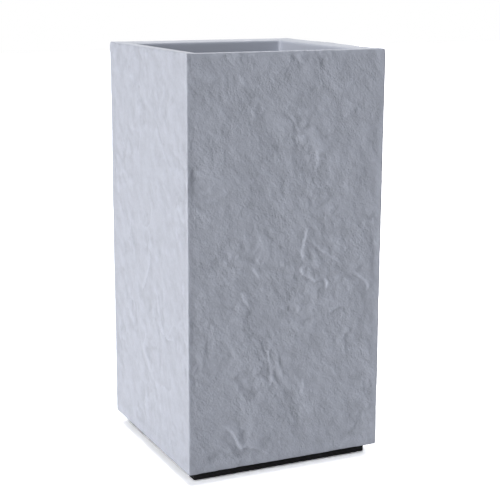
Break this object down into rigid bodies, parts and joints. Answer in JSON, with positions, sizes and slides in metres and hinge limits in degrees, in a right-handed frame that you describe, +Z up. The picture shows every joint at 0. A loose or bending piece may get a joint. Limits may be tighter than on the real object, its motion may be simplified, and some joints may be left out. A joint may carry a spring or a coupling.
{
  "type": "planter",
  "caption": "Tall square free-standing planter with a slate-textured glass-fibre shell, rolled rim, recessed black plinth, plugged drain and a lift-out planting shelf.",
  "frame": {"origin": "on the ground, under the middle of the shell", "axes": "+Z up; -Y is the front face, the wider face in the reference view; +X to the right when facing it"},
  "size_m": [0.4, 0.4, 0.794],
  "materials": {
    "shell": "painted glass-fibre laminate, satin blue-grey with a slate relief",
    "laminate": "bare grey glass-fibre laminate",
    "plinth": "matt black bar",
    "shelf": "dark grey plastic sheet",
    "drain_plastic": "black moulded plastic",
    "drain_rubber": "black rubber",
    "pads": "black rubber",
    "screws": "stainless steel"
  },
  "bodies": {
    "planter": {"outer_shell": "shell", "floor_panel": "laminate", "plinth_front": "plinth", "plinth_back": "plinth", "plinth_left": "plinth", "plinth_right": "plinth", "foot_pad_front_left": "pads", "foot_pad_front_right": "pads", "foot_pad_back_left": "pads", "foot_pad_back_right": "pads", "foot_screw_front_left": "screws", "foot_screw_front_right": "screws", "foot_screw_back_left": "screws", "foot_screw_back_right": "screws", "plinth_screw_front_1": "screws", "plinth_screw_front_2": "screws", "plinth_screw_back_1": "screws", "plinth_screw_back_2": "screws", "plinth_screw_left_1": "screws", "plinth_screw_left_2": "screws", "plinth_screw_right_1": "screws", "plinth_screw_right_2": "screws", "drain_fitting": "drain_plastic", "drain_gasket": "drain_rubber", "drain_lock_nut": "drain_plastic", "shelf_ledge_front": "laminate", "shelf_ledge_back": "laminate", "shelf_ledge_left": "laminate", "shelf_ledge_right": "laminate"},
    "shelf": {"planting_shelf": "shelf"},
    "plug": {"drain_plug": "drain_rubber"}
  },
  "joints": [
    {"name": "shelf_lift", "type": "slide", "parent": "planter", "child": "shelf", "axis": [0, 0, 1], "range_m": [0, 0.42]},
    {"name": "plug_pull", "type": "slide", "parent": "planter", "child": "plug", "axis": [0, 0, 1], "range_m": [0, 0.3]}
  ]
}
